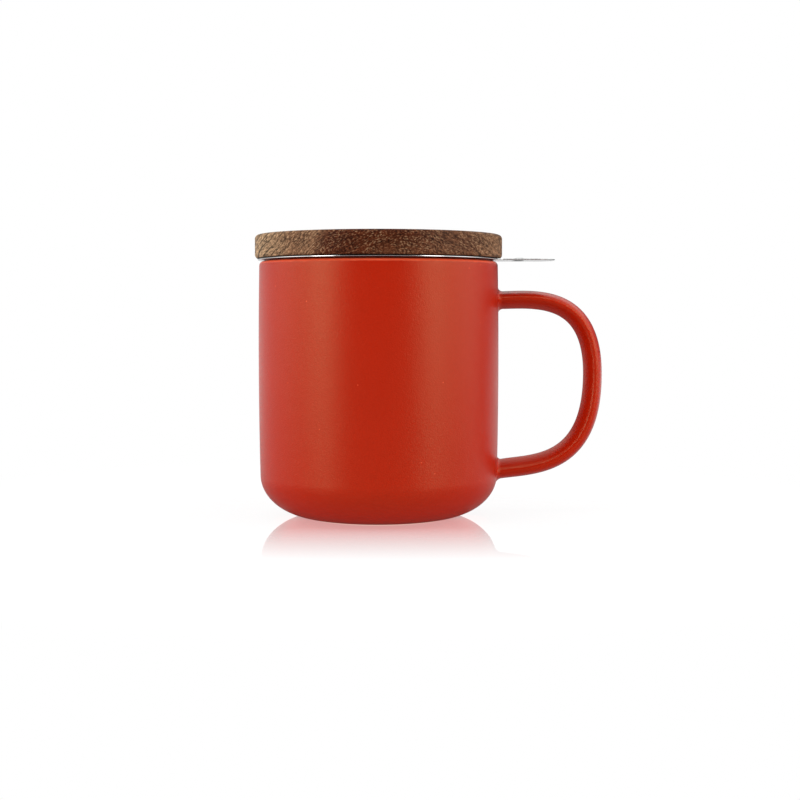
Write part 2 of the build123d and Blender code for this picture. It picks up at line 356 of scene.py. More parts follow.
def way_from_rim(profile, mug, steps):
    """Millimetres along the profile from the middle of the rim, positive outside, for every point."""
    run = way_along(profile)
    on_top = profile[:, 1] > mug.height - 0.001 * MM
    return np.repeat((run[on_top].mean() - run) / MM, steps)


def bezier(corners, t):
    """Cubic curve: the four corners weighted by the Bernstein polynomials of t."""
    t = t[:, None]
    weights = [(1 - t) ** 3, 3 * t * (1 - t) ** 2, 3 * t**2 * (1 - t), t**3]
    return sum(weight * np.array(corner) for weight, corner in zip(weights, corners))


# Corners of the two curves of the bar's middle line. Pulls are shares of the reach, bends are shares of the
# height between belly and root, measured from the belly, and the lift is the same share from the lower root.
TOP_PULL, TOP_BEND = 0.345, 1.155
BOTTOM_PULL, BOTTOM_BEND, BOTTOM_LIFT = 0.325, 1.03, 0.07
# Rings under the side's surface: distance along the bar, and half thickness beyond the flare's.
BURIED_RINGS = np.array([(-0.5, 0.6), (-0.15, 0.5)]) * MM
SLIDE_REACH = 8 * MM  # length of bar over which its rings come to lie on the side


def handle_line(mug, handle):
    """Middle line of the bar, as closely spaced points of X and Z: two curves that meet at the belly."""
    top_root = mug.height - handle.root_drop
    foot_root = handle.root_height
    belly = foot_root + handle.belly * (top_root - foot_root)
    above, below = top_root - belly, belly - foot_root
    start, far = mug.radius, mug.radius + handle.reach
    top_corners = [
        (start, top_root),
        (start + TOP_PULL * handle.reach, top_root),
        (far, belly + TOP_BEND * above),
        (far, belly),
    ]
    bottom_corners = [
        (far, belly),
        (far, belly - BOTTOM_BEND * below),
        (start + BOTTOM_PULL * handle.reach, foot_root + BOTTOM_LIFT * below),
        (start, foot_root),
    ]
    t = np.linspace(0, 1, 2000)
    return join(bezier(top_corners, t), bezier(bottom_corners, t))


def handle_rings(length_along, handle):
    """Distance along the bar and extra half thickness of every ring. The flare at a root is a quarter circle
    of radius f: distance f(1 - cos w), extra f(1 - sin w). The first rings lie under the side's surface."""
    flare = handle.flare
    turn_angle = np.radians(np.linspace(0, 90, 14))
    distance = np.concatenate([BURIED_RINGS[:, 0], flare * (1 - np.cos(turn_angle))])
    extra = np.concatenate([flare + BURIED_RINGS[:, 1], flare * (1 - np.sin(turn_angle))])
    middle = np.linspace(flare, length_along - flare, handle.steps + 1)[1:-1]
    return (
        np.concatenate([distance, middle, length_along - distance[::-1]]),
        np.concatenate([extra, np.zeros(len(middle)), extra[::-1]]),
    )


def handle_section(angle, handle):
    """The bar's section for half sizes of one: depth cos(a) + lean sin(a)^2, across sin(a) |sin(a)|^pinch."""
    depth = np.cos(angle) + handle.lean * np.sin(angle) ** 2
    return depth, np.sin(angle) * np.abs(np.sin(angle)) ** handle.pinch


def even_angles(count, handle):
    """Angles at which the section's points are evenly spaced: the section is walked in fine steps, and the
    angle is read at equal shares of the way."""
    fine = np.linspace(0, 2 * np.pi, 4001)
    depth, across = handle_section(fine, handle)
    run = way_along(side_by_side(depth * handle.bottom_thickness, across * handle.width))
    return np.interp(np.arange(count) / count * run[-1], run, fine)


def handle_surface(mug, handle, around=72):
    """The section carried along the bar's middle line in its own plane. Near a root every point slides along
    X until the ring lies on the side, so that the flare runs out on the body."""
    line = handle_line(mug, handle)
    covered = line[:, 0] < outside_radius(line[:, 1], mug)
    line = line[~covered]
    run = way_along(line)
    whole = run[-1]
    distance, extra = handle_rings(whole, handle)
    inside = np.clip(distance, 0, whole)
    tangent = read_along(inside, run, np.gradient(line, run, axis=0))
    tangent /= np.linalg.norm(tangent, axis=1, keepdims=True)
    centre = read_along(inside, run, line) + tangent * (distance - inside)[:, None]

    angle = even_angles(around, handle)
    share_along = inside / whole
    thickness = handle.top_thickness + (handle.bottom_thickness - handle.top_thickness) * share_along
    deep, across = handle_section(angle, handle)
    depth = (thickness / 2 + extra)[:, None] * deep
    x = centre[:, :1] - tangent[:, 1:] * depth
    z = centre[:, 1:] + tangent[:, :1] * depth
    y = -(handle.width / 2 + extra)[:, None] * across

    to_root = np.minimum(distance, whole - distance)[:, None]
    fade = 1 - smooth_step(to_root, 0, SLIDE_REACH)
    side = np.sqrt(np.maximum(outside_radius(z, mug) ** 2 - y**2, 0))
    root = np.where(share_along < 0.5, line[0, 0], line[-1, 0])[:, None]
    x = (1 - fade) * x + fade * (side + centre[:, :1] - root)
    rings = len(distance)
    faces = grid_faces(rings, around).tolist()
    faces.append(list(range(around - 1, -1, -1)))
    faces.append(list(range((rings - 1) * around, rings * around)))
    return side_by_side(x, y, z), faces


# ---- The basket ----

BEAD_TOP = 0.32  # the bead's flat top, as a share of its half width
TAB_STARTS, TAB_WHOLE = 0.5 * MM, 3 * MM  # beyond the flange's edge, where edges turn into the tab's
THIN_RAMP = 0.4 * MM  # the step beneath the flange, from folded to single steel
TILE_HALF = 0.45  # half of a ring of slots with its steel, as a share of the step from ring to ring
BASE_CORNER = 0.3  # radius of the base's corners, as a share of the sheet


def flange_outline(basket, tip):
    """Outline of flange and finger tab, counterclockwise, and its outward normals."""
    radius, half, root = basket.flange_radius, basket.tab_width / 2, basket.tab_root_round
    corner = basket.tab_tip_round
    root_y = half + root
    root_x = math.sqrt((radius + root) ** 2 - root_y**2)
    lean = math.degrees(math.atan2(root_y, root_x))
    outline = join(
        arc((0, 0), radius, lean, 360 - lean, 300),
        arc((root_x, -root_y), root, 180 - lean, 90, 10),
        np.linspace((root_x, -half), (tip - corner, -half), 22),
        arc((tip - corner, corner - half), corner, -90, 0, 22),
        np.linspace((tip, corner - half), (tip, half - corner), 11),
        arc((tip - corner, half - corner), corner, 0, 90, 22),
        np.linspace((tip - corner, half), (root_x, half), 22),
        arc((root_x, root_y), root, 270, 180 + lean, 10),
    )[:-1]
    heading = np.roll(outline, -1, axis=0) - np.roll(outline, 1, axis=0)
    normal = side_by_side(heading[:, 1], -heading[:, 0])
    return outline, normal / np.linalg.norm(normal, axis=1, keepdims=True)


def bead_rise(x, y, basket):
    """Height of the bead pressed into the tab: flat near a short line across the tab, smooth down to zero."""
    middle = basket.flange_radius + basket.bead_start + basket.bead_width / 2
    half = basket.bead_width / 2
    past_end = np.maximum(np.abs(y) - (basket.bead_length / 2 - half), 0)
    return basket.bead_height * (1 - smooth_step(np.hypot(x - middle, past_end), BEAD_TOP * half, half))


def basket_rim_surface(basket, flange_foot, tip, neck_foot):
    """Rows that run round the outline. Each point lies between a circle round the neck and the outline, at a
    share t: (1 - t) circle + t (outline - normal * inset). Inset and lift are given in edge radii."""
    outline, normal = flange_outline(basket, tip)
    top = flange_foot + basket.flange
    neck, bore = basket.neck_radius, basket.neck_radius - basket.sheet
    throat, mouth = basket.throat_round, basket.mouth_round
    bend = neck + throat
    rim_edge = basket.flange_radius
    on_tab = smooth_step(np.hypot(*outline.T), rim_edge + TAB_STARTS, rim_edge + TAB_WHOLE)
    edge = basket.edge_round + (basket.tab_edge_round - basket.edge_round) * on_tab

    def rows(radius, share_out, inset, height, lift=0):
        return side_by_side(radius, share_out, inset, height, lift)

    quarter = np.radians(np.linspace(0, 90, 7))
    neck_heights = np.linspace(neck_foot, flange_foot - throat, 12)
    out = np.linspace(0, 1, 46)
    section = np.concatenate([
        rows(neck, 0, 0, neck_heights),
        rows(bend - throat * np.cos(quarter), 0, 0, flange_foot - throat + throat * np.sin(quarter))[1:],
        rows(bend, out, 1, flange_foot)[1:],
        rows(bend, 1, 1 - np.sin(quarter), flange_foot, 1 - np.cos(quarter))[1:],
        rows(bend, 1, 1 - np.cos(quarter), top, np.sin(quarter) - 1),
        rows(bend, out[::-1], 1, top)[1:],
        rows(bend - mouth * np.sin(quarter), 0, 0, top - mouth + mouth * np.cos(quarter))[1:],
        rows(bore, 0, 0, np.linspace(top - mouth, neck_foot, 12))[1:],
    ])
    radius, share_out, inset, height, lift = (column[:, None] for column in section.T)
    inset, height = inset * edge, height + lift * edge
    angle = np.arctan2(outline[:, 1], outline[:, 0])
    x = (1 - share_out) * radius * np.cos(angle) + share_out * (outline[:, 0] - normal[:, 0] * inset)
    y = (1 - share_out) * radius * np.sin(angle) + share_out * (outline[:, 1] - normal[:, 1] * inset)
    thin_from = rim_edge - basket.thin_edge
    thinned = basket.thinning * smooth_step(np.hypot(x, y), thin_from - THIN_RAMP, thin_from)
    under = np.clip((top - height) / basket.flange, 0, 1) * (share_out > 0)
    z = height + bead_rise(x, y, basket) + thinned * under
    return side_by_side(x, y, z), grid_faces(len(section), len(outline), closed=True)


# A tile is one slot and the steel round it: 16 points on the tile's border and 16 round its slot. ALONG and
# ACROSS place them down the slot's length and across it, from -1 to 1, and ROUND is the angle of the slot's
# points on the half circles at its ends.
ALONG = np.array([-0.5, 0, 0.5, 1, 1, 1, 1, 1, 0.5, 0, -0.5, -1, -1, -1, -1, -1])
ACROSS = -np.roll(ALONG, 4)
ROUND = np.radians([0, 0, 0, 0, 45, 90, 135, 180, 180, 180, 180, 180, 225, 270, 315, 360])


def slot_tile(pitch, low, high, slot_length, slot_width, radius):
    """Angle and reach of a tile's border, and of its slot, a straight run between two half circles. The slot's
    angle is the distance across over the radius: a number, or None where the reach is itself the radius."""
    middle, half = (low + high) / 2, (high - low) / 2
    border = side_by_side(pitch / 2 * ACROSS, middle + half * ALONG)
    straight_half = (slot_length - slot_width) / 2
    across = slot_width / 2 * np.cos(ROUND)
    reach = middle + straight_half * ALONG + slot_width / 2 * np.sin(ROUND)
    return border, side_by_side(across / (reach if radius is None else radius), reach)


def tile_faces(tiles):
    """Faces of many tiles, each 4 rings of 16 points."""
    return (grid_faces(4, 16)[None] + 64 * np.arange(tiles)[:, None, None]).reshape(-1, 4)


def basket_wall_surface(basket, low, high):
    """A tube whose steel is cut by staggered slots: outer border, outer slot, inner slot and inner border of
    every tile are the four rings of a small grid. Plain bands close it at both ends."""
    outer, inner = basket.neck_radius, basket.neck_radius - basket.sheet
    count = math.floor(2 * math.pi * outer / basket.wall_pitch)
    row_pitch = basket.wall_slot + basket.wall_bridge
    rows = math.floor((high - low - 2 * basket.wall_edge + basket.wall_bridge) / row_pitch)
    first = (low + high - rows * row_pitch) / 2
    pitch = 2 * math.pi / count
    border, slot = slot_tile(pitch, first, first + row_pitch, basket.wall_slot, basket.slot_width, outer)
    row, place = np.meshgrid(np.arange(rows), np.arange(count), indexing="ij")
    turned = ((place + row % 2 / 2) * pitch).reshape(-1, 1)
    raised = (row * row_pitch).reshape(-1, 1)
    rings = [
        round_point(radius, turned + ring[:, 0], raised + ring[:, 1])
        for radius, ring in ((outer, border), (outer, slot), (inner, slot), (inner, border))
    ]
    angle = np.arange(4 * count) * pitch / 4
    top = first + rows * row_pitch
    bands = []
    for near, far, start, end in ((outer, inner, top, high), (inner, outer, first, low)):
        height = np.linspace(start, end, 4)
        band = np.concatenate([side_by_side(near, height), side_by_side(far, height[::-1])])
        bands.append((round_point(band[:, :1], angle, band[:, 1:]), grid_faces(len(band), len(angle))))
    return gather([(np.stack(rings, axis=1), tile_faces(rows * count)), *bands])


def zip_loops(inner_count, outer_count):
    """Triangles between two rings of evenly spaced points: each point joins its own last neighbour and the
    latest point of the other ring. Numbers below inner_count are the inner ring's."""
    inner, outer = np.arange(inner_count) / inner_count, np.arange(outer_count) / outer_count
    latest_outer = (np.searchsorted(outer, inner, side="right") - 1) % outer_count
    latest_inner = (np.searchsorted(inner, outer, side="left") - 1) % inner_count
    steps_in, steps_out = np.arange(inner_count), np.arange(outer_count)
    from_inner = [(steps_in - 1) % inner_count, inner_count + latest_outer, steps_in]
    from_outer = [latest_inner, inner_count + (steps_out - 1) % outer_count, inner_count + steps_out]
    return np.concatenate([side_by_side(*from_inner), side_by_side(*from_outer)])


def flat_zip(inner_radius, inner_count, outer_radius, outer_count, top, bottom):
    """The two faces of a plain flat ring whose edges have different numbers of points."""
    loops = [
        (radius, np.arange(count) * 2 * np.pi / count)
        for radius, count in ((inner_radius, inner_count), (outer_radius, outer_count))
    ]
    faces = zip_loops(inner_count, outer_count)
    above = np.concatenate([round_point(radius, angle, top) for radius, angle in loops])
    below = np.concatenate([round_point(radius, angle, bottom) for radius, angle in loops])
    return [(above, faces), (below, faces[:, ::-1])]


def basket_base_surface(basket, low, lip_height):
    """A disc with rings of slots, zipped together by plain rings, and a lip that stands on it."""
    lip_outer = basket.neck_radius - basket.sheet - basket.lip_clearance
    lip_inner = lip_outer - basket.sheet
    top = low + basket.sheet
    step = basket.base_slot + basket.base_bridge
    span = lip_inner - basket.base_edge - basket.base_centre
    rings = math.floor((span + basket.base_bridge) / step)
    parts, edges = [], []
    for ring in range(rings):
        middle = lip_inner - basket.base_edge - basket.base_slot / 2 - ring * step
        reach_low, reach_high = middle - TILE_HALF * step, middle + TILE_HALF * step
        count = math.floor(2 * math.pi * (middle - basket.base_slot / 2) / basket.base_pitch)
        pitch = 2 * math.pi / count
        border, slot = slot_tile(pitch, reach_low, reach_high, basket.base_slot, basket.slot_width, None)
        turned = (np.arange(count) * pitch)[:, None]
        layers = [(border, low), (slot, low), (slot, top), (border, top)]
        tiles = [round_point(place[:, 1], turned + place[:, 0], height) for place, height in layers]
        parts.append((np.stack(tiles, axis=1), tile_faces(count)))
        edges.append((reach_low, reach_high, 4 * count))
    edges.reverse()
    for (_, inner, inner_count), (outer, _, outer_count) in zip(edges, edges[1:]):
        parts += flat_zip(inner, inner_count, outer, outer_count, top, low)
    heart_radius, _, heart_count = edges[0]
    spokes = np.linspace(0, heart_radius, 5)
    parts.append(turn(side_by_side(spokes, low), heart_count))
    parts.append(turn(side_by_side(spokes[::-1], top), heart_count))

    _, plain_edge, plain_count = edges[-1]
    rim, soft = basket.neck_radius, basket.sheet * BASE_CORNER
    lip_top, lip_round = top + lip_height, basket.sheet / 2
    profile = join(
        np.linspace((plain_edge, low), (rim - soft, low), 4),
        arc((rim - soft, low + soft), soft, -90, 0, 4),
        [(rim, top)],
        np.linspace((rim, top), (lip_outer, top), 3),
        np.linspace((lip_outer, top), (lip_outer, lip_top - lip_round), 5),
        arc((lip_outer - lip_round, lip_top - lip_round), lip_round, 0, 180, 7),
        np.linspace((lip_inner, lip_top - lip_round), (lip_inner, top + soft), 5),
        arc((lip_inner - soft, top + soft), soft, 0, -90, 4),
        np.linspace((lip_inner - soft, top), (plain_edge, top), 4),
    )
    parts.append(turn(profile, plain_count))
    return gather(parts)


# ---- The lid ----

RIBS, RIB_DEPTH = 3, 0.2  # of the sealing ring, the depth as a share of its reach out of the groove
EDGE_FULLNESS = 1.3  # how soon the ring's face is whole, going in from its two edges


def plug_radius(lid, basket):
    """Outer radius of the plug, which stands clear of the inside of the neck."""
    return basket.neck_radius - basket.sheet - lid.plug_clearance


def lid_profile(lid, plug, low, top, seat, groove_low, groove_high):
    """From the plug's middle, out, up past the groove, out along the seat, up the side and in over the top."""
    groove = plug - lid.groove_depth
    soft = 0.3 * MM
    edge, under, over = lid.plug_round, lid.bottom_round, lid.top_round
    return join(
        np.linspace((0, low), (plug - edge, low), 16),
        arc((plug - edge, low + edge), edge, -90, 0, 10),
        [(plug, groove_low - soft)],
        arc((plug - soft, groove_low - soft), soft, 0, 90, 4),
        np.linspace((plug - soft, groove_low), (groove, groove_low), 4),
        np.linspace((groove, groove_low), (groove, groove_high), 4),
        np.linspace((groove, groove_high), (plug - soft, groove_high), 4),
        arc((plug - soft, groove_high + soft), soft, -90, 0, 4),
        np.linspace((plug, groove_high + soft), (plug, seat - soft), 5),
        arc((plug + soft, seat - soft), soft, 180, 90, 4),
        np.linspace((plug + soft, seat), (lid.radius - under, seat), 8),
        arc((lid.radius - under, seat + under), under, -90, 0, 14),
        np.linspace((lid.radius, seat + under), (lid.radius, top - over), 8),
        arc((lid.radius - over, top - over), over, 0, 90, 14),
        np.linspace((lid.radius - over, top), (0, top), 30),
    )


def seal_profile(inner, outer, low, high):
    """A flat back in the groove and an outer face of soft ribs: the reach falls back by a cosine between
    them and to nothing at the two edges."""
    share_up = np.linspace(0, 1, 49)
    rib = 0.5 - 0.5 * np.cos(2 * np.pi * RIBS * share_up)
    edge = np.clip(EDGE_FULLNESS * np.sqrt(np.sin(np.pi * share_up)), 0, 1)
    reach = inner + (outer - inner) * edge * (1 - RIB_DEPTH * (1 - rib))
    face = side_by_side(reach, low + (high - low) * share_up)
    face[[0, -1], 0] = inner
    return join(face, np.linspace((inner, high), (inner, low), 6)[1:-1])


# ---- Finishes ----


def math_node(operation, swapped=False):
    """A method of Wire that adds one Math node."""

    def method(self, other):
        values = (other, self) if swapped else (self, other)
        return self.finish.math(operation, *values)

    return method


class Wire:
    """A socket in a material. Arithmetic on it adds Math nodes, so a mask reads as an expression."""

    def __init__(self, finish, socket):
        self.finish = finish
        self.socket = socket

    __add__ = __radd__ = math_node("ADD")
    __sub__ = math_node("SUBTRACT")
    __rsub__ = math_node("SUBTRACT", swapped=True)
    __mul__ = __rmul__ = math_node("MULTIPLY")
    __truediv__ = math_node("DIVIDE")
    __pow__ = math_node("POWER")

    def rise(self, low, high):
        """0 below low, 1 above high, smooth between."""
        sockets = {"Value": self, "From Min": low, "From Max": high}
        return self.finish.add("ShaderNodeMapRange", "Result", sockets, interpolation_type="SMOOTHSTEP")


class Finish:
    """A node tree under construction."""

    def __init__(self, owner):
        owner.use_nodes = True
        self.owner = owner
        self.tree = owner.node_tree
        self.tree.nodes.clear()

    @classmethod
    def named(cls, name):
        """The tree of a new material."""
        return cls(bpy.data.materials.new(name))

    def add(self, kind, output, sockets=(), **settings):
        """One node: its settings first, then the values and links of its sockets. Returns one output."""
        node = self.tree.nodes.new(kind)
        for setting, value in settings.items():
            setattr(node, setting, value)
        for socket, value in dict(sockets).items():
            self.feed(node.inputs[socket], value)
        return Wire(self, node.outputs[output])

    def feed(self, socket, value):
        """Links a wire to a socket, or sets the socket to a number, vector or colour."""
        if isinstance(value, Wire):
            self.tree.links.new(value.socket, socket)
        elif socket.type == "RGBA" and len(value) == 3:
            socket.default_value = (*value, 1)
        else:
            socket.default_value = value

    def math(self, operation, *values):
        """One Math node."""
        return self.add("ShaderNodeMath", "Value", enumerate(values), operation=operation)

    def mix(self, share, first, second):
        """From the first colour to the second as share goes from 0 to 1."""
        return self.add("ShaderNodeMix", 2, {0: share, 6: first, 7: second}, data_type="RGBA")

    def ramp(self, stops, value):
        """The colour that stands at a value between the stops, each a position and its colour."""
        tone = self.add("ShaderNodeValToRGB", "Color", {0: value})
        elements = tone.socket.node.color_ramp.elements
        while len(elements) < len(stops):
            elements.new(1)
        for element, (position, colour) in zip(elements, stops):
            element.position = position
            element.color = (*colour, 1)
        return tone

    def tint(self, colour, strength):
        """A colour, or any vector, times a number that may change over the surface."""
        sockets = {"Vector": colour, "Scale": strength}
        return self.add("ShaderNodeVectorMath", "Vector", sockets, operation="SCALE")

    def place(self):
        """The point on the object, in millimetres."""
        return self.tint(self.add("ShaderNodeTexCoord", "Object"), 1 / MM)

    def distance(self, x, y):
        """The root of x * x + y * y."""
        return self.math("SQRT", x * x + y * y)

    def split(self, vector):
        """Wires for X, Y and Z."""
        node = self.add("ShaderNodeSeparateXYZ", "X", {0: vector}).socket.node
        return [Wire(self, output) for output in node.outputs]

    def vector(self, x, y, z):
        """X, Y and Z as one wire."""
        return self.add("ShaderNodeCombineXYZ", "Vector", {0: x, 1: y, 2: z})

    def noise(self, vector, scale, detail=2.0, roughness=0.5):
        """Soft noise from about 0.25 to 0.75."""
        sockets = {"Vector": vector, "Scale": scale, "Detail": detail, "Roughness": roughness}
        return self.add("ShaderNodeTexNoise", "Fac", sockets)

    def cells(self, vector, scale):
        """Distance to the nearest of many scattered points."""
        return self.add("ShaderNodeTexVoronoi", "Distance", {"Vector": vector, "Scale": scale})

    def bump(self, height, distance, strength):
        """Normals of a relief whose height of 1 stands distance metres high."""
        sockets = {"Height": height, "Distance": distance, "Strength": strength}
        return self.add("ShaderNodeBump", "Normal", sockets)

    def light(self, colour, strength):
        """A surface that gives its own light."""
        return self.add("ShaderNodeEmission", 0, {"Color": colour, "Strength": strength})

    def coat(self, **sockets):
        """The surface itself. A socket's name is written with underscores for blanks."""
        named = {name.replace("_", " "): value for name, value in sockets.items()}
        return self.close(self.add("ShaderNodeBsdfPrincipled", "BSDF", named))

    def close(self, surface, kind="ShaderNodeOutputMaterial"):
        """Links the finished surface to the tree's end, and gives back whose tree it is."""
        end = self.tree.nodes.new(kind)
        self.tree.links.new(surface.socket, end.inputs["Surface"])
        return self.owner


def satin_glaze(name, colours, with_inside):
    """Satin glaze over clay: soft clouds, fine mottling that also roughens it, a few pale pinholes and an
    orange-peel relief. The body also has a glossy liner inside, a bare foot ring, and thin glaze on the rim's
    outer curve, whose pale colour there is also a painted highlight along that curve. The handle's glaze is
    smoother, and a little lighter as painted light that stands in for light falling on the handle."""
    finish = Finish.named(name)
    place = finish.place()
    # thin is the thin-glaze colour; on the rim it also serves as a painted highlight.
    glaze, thin = colours.glaze, colours.thin_glaze_and_highlight
    # The handle's higher least tone is painted light: it lightens the handle's glaze to stand in for light
    # falling on the handle.
    least_tone, plain_roughness = (0.98, 0.29) if with_inside else (1.06, 0.20)
    clouds = finish.noise(place, 0.05)
    mottle = finish.noise(place, 1.1, 3.0, 0.6)
    grain = finish.noise(place, 1.9, 1.0)
    tone = least_tone + 0.05 * clouds + 0.10 * (mottle - 0.5) + 0.22 * (grain - 0.5)
    roughness = plain_roughness + 0.06 * (mottle - 0.5)
    pinhole = 1 - finish.cells(place, 0.16).rise(0.03, 0.05)
    colour = finish.mix(0.55 * pinhole, finish.tint(glaze, tone), thin)
    if with_inside:
        way = finish.add("ShaderNodeAttribute", "Fac", attribute_name="way_from_rim")
        wander = 0.5 * (finish.noise(place, 0.35) - 0.5)
        # Painted highlight: the thin glaze on the rim's outer curve is placed and brightened where light catches
        # that curve.
        rim_thin_glaze_and_highlight = (way + wander).rise(0.9, 1.6) * (1 - (way + wander).rise(1.95, 2.85))
        colour = finish.mix(0.9 * rim_thin_glaze_and_highlight, colour, thin)
        lined = 1 - (way + 2 * wander).rise(-3.0, -2.2)
        speck = finish.cells(place, 0.22).rise(0.05, 0.12)
        liner = finish.tint(colours.liner, 0.93 + 0.04 * clouds + 0.04 * speck)
        colour = finish.mix(lined, colour, liner)
        roughness = roughness - 0.23 * lined
        height = finish.split(place)[2]
        bare = 1 - (height + 0.1 * (mottle - 0.5)).rise(0.06, 0.16)
        clay = finish.tint(colours.clay, 0.85 + 0.3 * mottle)
        colour = finish.mix(bare, colour, clay)
        roughness = roughness + 0.45 * bare
    peel = finish.noise(place, 2.3, 2.0, 0.6)
    return finish.coat(
        Base_Color=colour,
        Roughness=roughness,
        Normal=finish.bump(peel, 0.11 * MM, 0.8),
        IOR=1.37,
        Specular_Tint=(1.0, 0.95, 0.5),
    )


# The board the lid is turned from, in millimetres.
RING_LINE = (6.0, 56.0)  # X and Z of the line that the growth rings run round
TONES_FROM, TONES_WIDTH = 38.0, 30.0  # radius where the tones of heart and sap start, and their width
RING_SPACING = 2.2
SAPWOOD_SIDE = (28.0, 40.0)  # how far towards -X the lines between rings begin to darken, and are darkest
EDGE_SHADE_HEIGHT, EDGE_SHADE_REACH = (93.9, 94.4), (42.2, 42.8)  # painted shade: heights and radii of the dark line along the disc's lower edge


def turned_wood(name, colours):
    """A board whose growth rings run round a line along Y, below the lid. Tone follows the ring's radius, with
    thin dark lines between rings. Pale flecks lie along the rings, and they and the pores are long only along
    the grain. Towards the disc's lower part the wood is painted lighter, as painted light from below, and a
    dark line of painted shade runs along its lower edge."""
    finish = Finish.named(name)
    place = finish.place()
    x, y, z = finish.split(place)
    stretched = finish.vector(x, 0.12 * y, z)
    wander = finish.noise(stretched, 0.07) - 0.5
    ripple = finish.noise(stretched, 0.30) - 0.5
    across, up = x - RING_LINE[0], z - RING_LINE[1]
    radius = finish.distance(across, up) - 0.04 * x + 4.5 * wander + 0.5 * ripple
    sweep = 55.0 * finish.math("ARCTAN2", across, up)
    inner, dark = colours.innerwood, colours.heartwood
    middle, pale = colours.midwood, colours.sapwood
    stops = [(0.0, inner), (0.14, dark), (0.35, dark), (0.46, middle), (0.62, middle), (0.95, pale)]
    tone = finish.ramp(stops, (radius - 0.6 * (z - 98.0) - TONES_FROM) / TONES_WIDTH)
    tone = finish.mix(0.4 * x.rise(10.0, 24.0), tone, middle)
    ring_phase = finish.math("FRACT", radius / RING_SPACING + 0.4 * ripple)
    late = ring_phase.rise(0.70, 0.93) * (1 - ring_phase.rise(0.95, 1.0))
    outer = (0 - x).rise(*SAPWOOD_SIDE)
    along_ring = finish.vector(radius, 0.6 * sweep, 0.05 * y)
    patch = finish.noise(along_ring, 0.20).rise(0.34, 0.62)
    curl = finish.noise(along_ring, 1.6, 2.0, 0.6).rise(0.40, 0.62)
    fine = finish.noise(finish.vector(radius, 0.35 * sweep, 0.05 * y), 2.8, 2.0, 0.6)
    streak = finish.noise(finish.vector(radius, 0.12 * sweep, 0.02 * y), 0.9, 3.0, 0.65)
    pore = 1 - finish.cells(finish.vector(x, 0.05 * y, z), 1.1).rise(0.12, 0.30)
    depth = 0.61 + 0.30 * curl + 1.1 * (streak - 0.5) + 2.45 * (fine - 0.5)
    # The last factor is painted light: the wood gets up to 22 percent lighter towards the disc's lower part,
    # standing in for light from below.
    depth = depth * (1 - (0.30 + 0.48 * outer) * late) * (1 - 0.6 * pore) * (1.22 - 0.22 * z.rise(94.5, 98.0))
    colour = finish.tint(tone, depth)
    shine = (0.25 + 0.75 * patch) * fine.rise(0.50, 0.66) * (1 - late)
    fleck = finish.tint(pale, 0.75 + 0.7 * (radius - TONES_FROM) / TONES_WIDTH)
    colour = finish.mix(0.55 * shine, colour, fleck)
    # Painted shade: a dark line along the disc's lower edge, where its rounding turns down into shadow.
    painted_edge_shade = (1 - z.rise(*EDGE_SHADE_HEIGHT)) * finish.distance(x, y).rise(*EDGE_SHADE_REACH)
    colour = finish.tint(colour, 1 - 0.95 * painted_edge_shade)
    roughness = 0.50 + 0.12 * (streak - 0.5) + 0.2 * pore
    relief = 0.5 * curl - 0.6 * pore - 0.1 * late
    return finish.coat(
        Base_Color=colour,
        Roughness=roughness,
        Normal=finish.bump(relief, 0.04 * MM, 0.6),
        Specular_IOR_Level=0.06,
    )


def satin_steel(name, colours, seam=False):
    """Stainless sheet brushed round the axis: noise that is long along the circle and fine across it, with a
    soft bloom of handling. A rolled sheet also has its weld, a fine raised line on the far side."""
    finish = Finish.named(name)
    place = finish.place()
    x, y, z = finish.split(place)
    turn_angle = finish.math("ARCTAN2", y, x)
    brushed = finish.vector(9.0 * finish.distance(x, y), 9.0 * z, 2.2 * turn_angle)
    lines = finish.noise(brushed, 1.0, 3.0, 0.65)
    bloom = finish.noise(place, 0.08)
    colour = finish.tint(colours.steel, 0.94 + 0.08 * lines + 0.04 * (bloom - 0.5))
    roughness = 0.10 + 0.12 * lines + 0.08 * (bloom - 0.5)
    relief = lines
    if seam:
        near = finish.math("ABSOLUTE", y) + 10 * x.rise(-1.0, 0.0)
        weld = 1 - near.rise(0.25, 0.6)
        roughness = roughness + 0.15 * weld
        relief = relief + 6.0 * weld
    return finish.coat(
        Base_Color=colour, Metallic=1.0, Roughness=roughness, Normal=finish.bump(relief, 0.004 * MM, 0.6)
    )


def food_silicone(name, colours):
    """Milky rubber with a faint moulded grain and a little dust."""
    finish = Finish.named(name)
    place = finish.place()
    grain = finish.noise(place, 5.0)
    dust = finish.noise(place, 0.4, 3.0, 0.6)
    colour = finish.tint(colours.silicone, 0.94 + 0.08 * dust)
    return finish.coat(
        Base_Color=colour,
        Roughness=0.45 + 0.2 * (dust - 0.3),
        Normal=finish.bump(grain, 0.01 * MM, 0.4),
        Subsurface_Weight=0.2,
        Subsurface_Scale=2 * MM,
    )


# ---- The stage ----

FLOOR_DROP = 0.05 * MM
FLOOR_REACH = 4.0  # metres, half of the floor's side
CAMERA_PLACE = (0.00779, -0.533, 0.07442)
CAMERA_TILT = 86.57  # degrees up from straight down
CAMERA_LENS, CAMERA_SENSOR = 65.49, 36.0  # millimetres
CAMERA_SEES = (0.01, 20)  # metres, from the nearest to the farthest
# Each lamp's name, place, the point that it faces, its width and height in metres, and its watts.
LAMPS = (
    ("left_softbox", (-0.54, -0.44, 0.32), (0, 0, 0.32), (0.26, 0.60), 2.05),
    ("right_softbox", (0.54, -0.44, 0.32), (0, 0, 0.32), (0.26, 0.60), 1.75),
    ("front_strip", (0, -0.42, 0.62), (0, 0, 0.09), (0.6, 0.04), 0.4),
)
ROOM_LEVEL = 2.36  # strength of the white room where nothing dims it
WHITE = (1.0, 1.0, 1.0)

